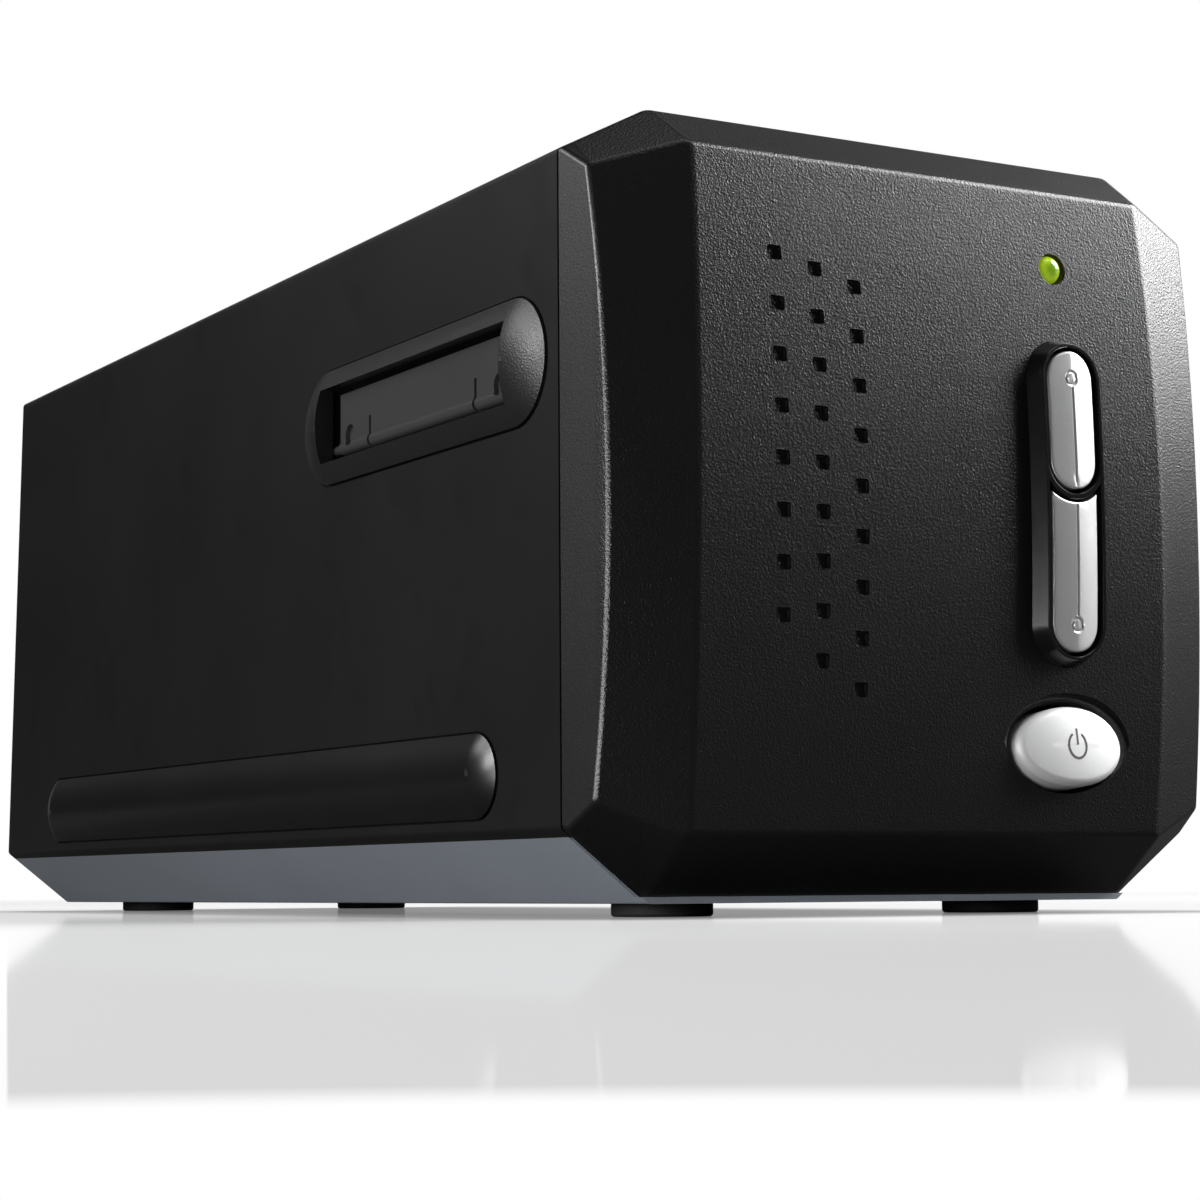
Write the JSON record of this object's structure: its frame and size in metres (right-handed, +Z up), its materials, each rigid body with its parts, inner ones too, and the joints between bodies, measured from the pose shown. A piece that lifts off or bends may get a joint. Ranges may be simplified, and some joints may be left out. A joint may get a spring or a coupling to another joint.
{
  "type": "film negative scanner",
  "caption": "Desk-top film negative scanner with a slot through its sides, sprung dust flaps, a bowed control panel and a moving optical carriage.",
  "frame": {"origin": "centre of the whole object's footprint, at the level of the feet's soles", "axes": "+X to the right seen from the front, +Y to the rear, the control panel faces -Y, +Z up"},
  "size_m": [0.12, 0.272, 0.119],
  "materials": {
    "cover": "satin black moulded plastic",
    "panel": "black plastic with a fine leather-like grain",
    "tray": "blue-grey metallic satin lacquer",
    "ring": "smooth satin black",
    "light": "clear yellow-green light pipe",
    "surround": "black plastic with a fine grain",
    "grip": "smooth satin black",
    "foot": "matt black rubber",
    "flap": "smooth dark satin",
    "button": "satin bright plating",
    "inner_plastic": "moulded matt dark grey",
    "white_board": "white solder mask",
    "diffuser": "opal",
    "rod": "ground steel",
    "motor": "plated steel can",
    "belt": "black rubber",
    "board": "green solder mask",
    "socket_metal": "tinned steel shell",
    "socket_plastic": "black",
    "ribbon": "flat ribbon",
    "mirror": "front-silvered glass",
    "barrel": "black anodised",
    "lens": "coated glass",
    "brass": "turned brass",
    "pulley": "natural acetal"
  },
  "bodies": {
    "housing": {"top_cover": "cover", "base_tray": "tray", "front_panel": "panel", "rear_panel": "cover", "button_ring": "ring", "status_light": "light", "left_slot_surround": "surround", "right_slot_surround": "surround", "left_side_grip": "grip", "right_side_grip": "grip", "front_left_foot": "foot", "front_right_foot": "foot", "rear_left_foot": "foot", "rear_right_foot": "foot", "chassis": "inner_plastic", "lower_film_guide": "inner_plastic", "upper_film_guide": "inner_plastic", "lamp_housing": "inner_plastic", "lamp_board": "white_board", "light_diffuser": "diffuser", "left_guide_rod": "rod", "right_guide_rod": "rod", "scan_motor": "motor", "drive_belt": "belt", "main_board": "board", "data_socket": "socket_metal", "power_socket": "socket_plastic", "button_board": "board", "push_switches": "socket_plastic", "panel_ribbon": "ribbon", "base_screws": "rod"},
    "upper_scan_button": {"upper_scan_button": "button"},
    "lower_scan_button": {"lower_scan_button": "button"},
    "power_button": {"power_button": "button"},
    "left_dust_flap": {"left_dust_flap": "flap"},
    "right_dust_flap": {"right_dust_flap": "flap"},
    "scan_carriage": {"carriage_frame": "inner_plastic", "scan_mirror": "mirror", "lens_barrel": "barrel", "lens_glass": "lens", "sensor_board": "board"},
    "drive_pulley": {"drive_pulley": "brass"},
    "idler_pulley": {"idler_pulley": "pulley"}
  },
  "joints": [
    {"name": "upper_scan_button_press", "type": "slide", "parent": "housing", "child": "upper_scan_button", "axis": [0, 1, 0], "range_m": [0, 0.0006], "stiffness_N_per_m": 600},
    {"name": "lower_scan_button_press", "type": "slide", "parent": "housing", "child": "lower_scan_button", "axis": [0, 1, 0], "range_m": [0, 0.0006], "stiffness_N_per_m": 600},
    {"name": "power_button_press", "type": "slide", "parent": "housing", "child": "power_button", "axis": [0, 1, 0], "range_m": [0, 0.0006], "stiffness_N_per_m": 600},
    {"name": "left_flap_hinge", "type": "hinge", "parent": "housing", "child": "left_dust_flap", "pos_m": [-0.0556, -0.0711, 0.0784], "axis": [0, 1, 0], "range_deg": [0, 85], "stiffness_Nm_per_rad": 0.004, "springref_deg": -20.05},
    {"name": "right_flap_hinge", "type": "hinge", "parent": "housing", "child": "right_dust_flap", "pos_m": [0.0556, -0.0711, 0.0784], "axis": [0, -1, 0], "range_deg": [0, 85], "stiffness_Nm_per_rad": 0.004, "springref_deg": -20.05},
    {"name": "carriage_slide", "type": "slide", "parent": "housing", "child": "scan_carriage", "axis": [0, 1, 0], "range_m": [0, 0.03]},
    {"name": "drive_pulley_spin", "type": "hinge", "parent": "housing", "child": "drive_pulley", "pos_m": [0.041, 0.0884, 0.014], "axis": [0, 0, 1], "range_deg": [-290, 0]},
    {"name": "idler_pulley_spin", "type": "hinge", "parent": "housing", "child": "idler_pulley", "pos_m": [0.041, -0.0831, 0.014], "axis": [0, 0, 1], "range_deg": [-290, 0]}
  ],
  "couplings": [
    {"joint": "drive_pulley_spin", "follows": "carriage_slide", "rad_per_m": -166.67},
    {"joint": "idler_pulley_spin", "follows": "carriage_slide", "rad_per_m": -166.67}
  ]
}
